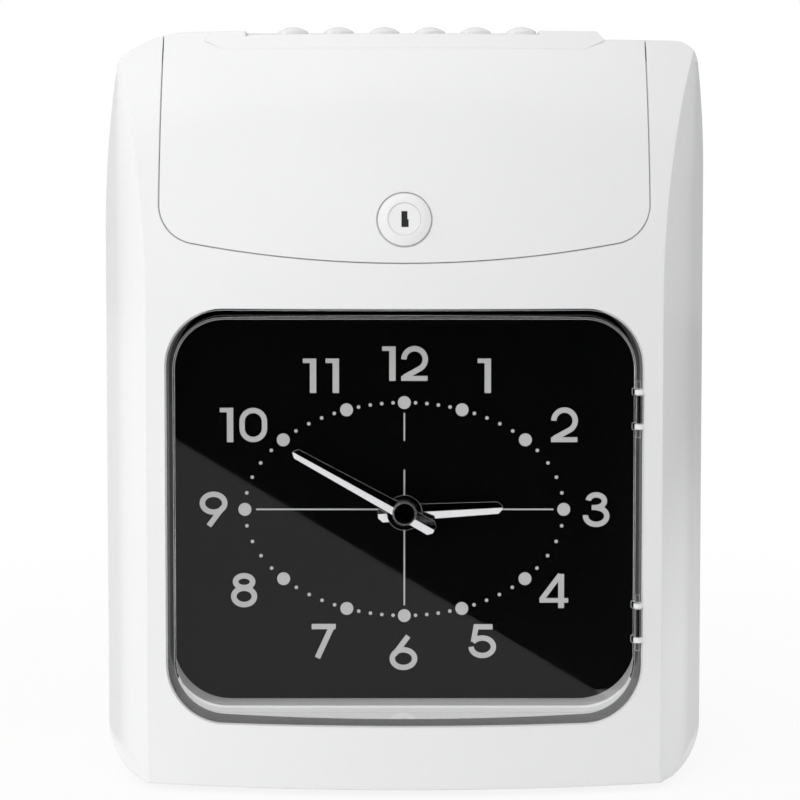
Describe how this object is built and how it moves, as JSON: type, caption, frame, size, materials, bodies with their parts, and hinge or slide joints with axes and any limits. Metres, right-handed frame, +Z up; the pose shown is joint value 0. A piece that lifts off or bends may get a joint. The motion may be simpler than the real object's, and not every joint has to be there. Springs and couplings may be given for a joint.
{
  "type": "punch-card time clock",
  "caption": "Wall or desk time clock with a bulged white case, an analogue dial behind a hinged clear window, and a lockable cover with keys over a card printer.",
  "frame": {"origin": "on the table, under the middle of the case's box", "axes": "+Z up, front towards -Y, +X to the right seen from the front"},
  "size_m": [0.211, 0.125, 0.262],
  "materials": {
    "white_abs": "gloss moulded",
    "lock_face": "gloss moulded",
    "rubber": "matt",
    "zinc_steel": "zinc plated",
    "dial_black": "gloss print",
    "dial_print": "printed",
    "black_plastic": "moulded",
    "hand_chrome": "polished",
    "clear_acrylic": "clear",
    "circuit_board": "solder mask",
    "sheet_steel": "plated",
    "ground_rod": "ground",
    "grey_plastic": "moulded",
    "platen_rubber": "matt",
    "blue_plastic": "moulded",
    "natural_nylon": "moulded",
    "core_steel": "varnished",
    "battery_sleeve": "shrink sleeve"
  },
  "bodies": {
    "case": {"front_housing": "white_abs", "rear_housing": "white_abs", "rubber_feet": "rubber", "case_screws": "zinc_steel", "cord_grommet": "rubber", "dial_plate": "dial_black", "dial_screws": "zinc_steel", "hour_dots": "dial_print", "clock_movement": "black_plastic", "movement_nut": "zinc_steel", "window_hinge_pins": "zinc_steel", "cover_hinge_pins": "zinc_steel", "mechanism_frame": "sheet_steel", "frame_screws": "zinc_steel", "guide_rods": "ground_rod", "idler_stud": "sheet_steel", "timing_belt": "black_plastic", "carriage_motor": "sheet_steel", "ribbon_cartridge": "black_plastic", "card_chute": "grey_plastic", "platen": "platen_rubber", "feed_motor": "sheet_steel", "main_board": "circuit_board", "board_screws": "zinc_steel", "transformer": "core_steel", "backup_battery": "battery_sleeve"},
    "cover": {"cover": "white_abs", "lock_barrel": "lock_face", "lock_nut": "zinc_steel", "keypad_board": "circuit_board", "keypad_screws": "zinc_steel"},
    "window": {"window": "clear_acrylic"},
    "lock_plug": {"lock_plug": "lock_face", "lock_cam": "zinc_steel"},
    "hour_hand": {"hour_hand": "hand_chrome"},
    "minute_hand": {"minute_hand": "hand_chrome"},
    "carriage": {"carriage": "black_plastic", "print_head": "black_plastic"},
    "drive_pulley": {"drive_pulley": "sheet_steel"},
    "idler_pulley": {"idler_pulley": "sheet_steel"},
    "ribbon_knob": {"ribbon_knob": "blue_plastic"},
    "feed_roller": {"feed_roller": "platen_rubber"},
    "motor_pinion": {"motor_pinion": "natural_nylon"},
    "button_1": {"button_1": "white_abs"},
    "button_2": {"button_2": "white_abs"},
    "button_3": {"button_3": "white_abs"},
    "button_4": {"button_4": "white_abs"},
    "button_5": {"button_5": "white_abs"},
    "button_6": {"button_6": "white_abs"}
  },
  "joints": [
    {"name": "cover_hinge", "type": "hinge", "parent": "case", "child": "cover", "pos_m": [0, 0, 0.254], "axis": [-1, 0, 0], "range_deg": [0, 75]},
    {"name": "window_hinge", "type": "hinge", "parent": "case", "child": "window", "pos_m": [0.0796, -0.05306, 0.0947], "axis": [0, 0, 1], "range_deg": [0, 100]},
    {"name": "lock_turn", "type": "hinge", "parent": "cover", "child": "lock_plug", "pos_m": [0, -0.06, 0.1955], "axis": [0, 0.9857, -0.1686], "range_deg": [0, 90]},
    {"name": "minute_turn", "type": "hinge", "parent": "case", "child": "minute_hand", "pos_m": [0, -0.04, 0.095], "axis": [0, 1, 0], "continuous": true},
    {"name": "hour_turn", "type": "hinge", "parent": "case", "child": "hour_hand", "pos_m": [0, -0.04, 0.095], "axis": [0, 1, 0], "continuous": true},
    {"name": "carriage_slide", "type": "slide", "parent": "case", "child": "carriage", "axis": [1, 0, 0], "range_m": [-0.03, 0.03]},
    {"name": "drive_pulley_turn", "type": "hinge", "parent": "case", "child": "drive_pulley", "pos_m": [0.06, -0.024, 0.205], "axis": [0, 0, 1], "range_deg": [-222, 222]},
    {"name": "idler_pulley_turn", "type": "hinge", "parent": "case", "child": "idler_pulley", "pos_m": [-0.06, -0.024, 0.205], "axis": [0, 0, 1], "range_deg": [-222, 222]},
    {"name": "ribbon_knob_turn", "type": "hinge", "parent": "case", "child": "ribbon_knob", "pos_m": [0.04, -0.01, 0.238], "axis": [0, 0, 1], "continuous": true},
    {"name": "feed_roller_turn", "type": "hinge", "parent": "case", "child": "feed_roller", "pos_m": [0, 0.0092, 0.184], "axis": [1, 0, 0], "continuous": true},
    {"name": "motor_pinion_turn", "type": "hinge", "parent": "case", "child": "motor_pinion", "pos_m": [0.07, 0.0173, 0.19923], "axis": [1, 0, 0], "continuous": true},
    {"name": "button_1_press", "type": "slide", "parent": "cover", "child": "button_1", "axis": [0, 0, -1], "range_m": [0, 0.001], "stiffness_N_per_m": 400, "springref_m": -0.0005},
    {"name": "button_2_press", "type": "slide", "parent": "cover", "child": "button_2", "axis": [0, 0, -1], "range_m": [0, 0.001], "stiffness_N_per_m": 400, "springref_m": -0.0005},
    {"name": "button_3_press", "type": "slide", "parent": "cover", "child": "button_3", "axis": [0, 0, -1], "range_m": [0, 0.001], "stiffness_N_per_m": 400, "springref_m": -0.0005},
    {"name": "button_4_press", "type": "slide", "parent": "cover", "child": "button_4", "axis": [0, 0, -1], "range_m": [0, 0.001], "stiffness_N_per_m": 400, "springref_m": -0.0005},
    {"name": "button_5_press", "type": "slide", "parent": "cover", "child": "button_5", "axis": [0, 0, -1], "range_m": [0, 0.001], "stiffness_N_per_m": 400, "springref_m": -0.0005},
    {"name": "button_6_press", "type": "slide", "parent": "cover", "child": "button_6", "axis": [0, 0, -1], "range_m": [0, 0.001], "stiffness_N_per_m": 400, "springref_m": -0.0005}
  ],
  "couplings": [
    {"joint": "hour_turn", "follows": "minute_turn", "ratio": 0.083333},
    {"joint": "drive_pulley_turn", "follows": "carriage_slide", "rad_per_m": -129.03},
    {"joint": "idler_pulley_turn", "follows": "carriage_slide", "rad_per_m": -129.03},
    {"joint": "motor_pinion_turn", "follows": "feed_roller_turn", "ratio": -2.4}
  ]
}
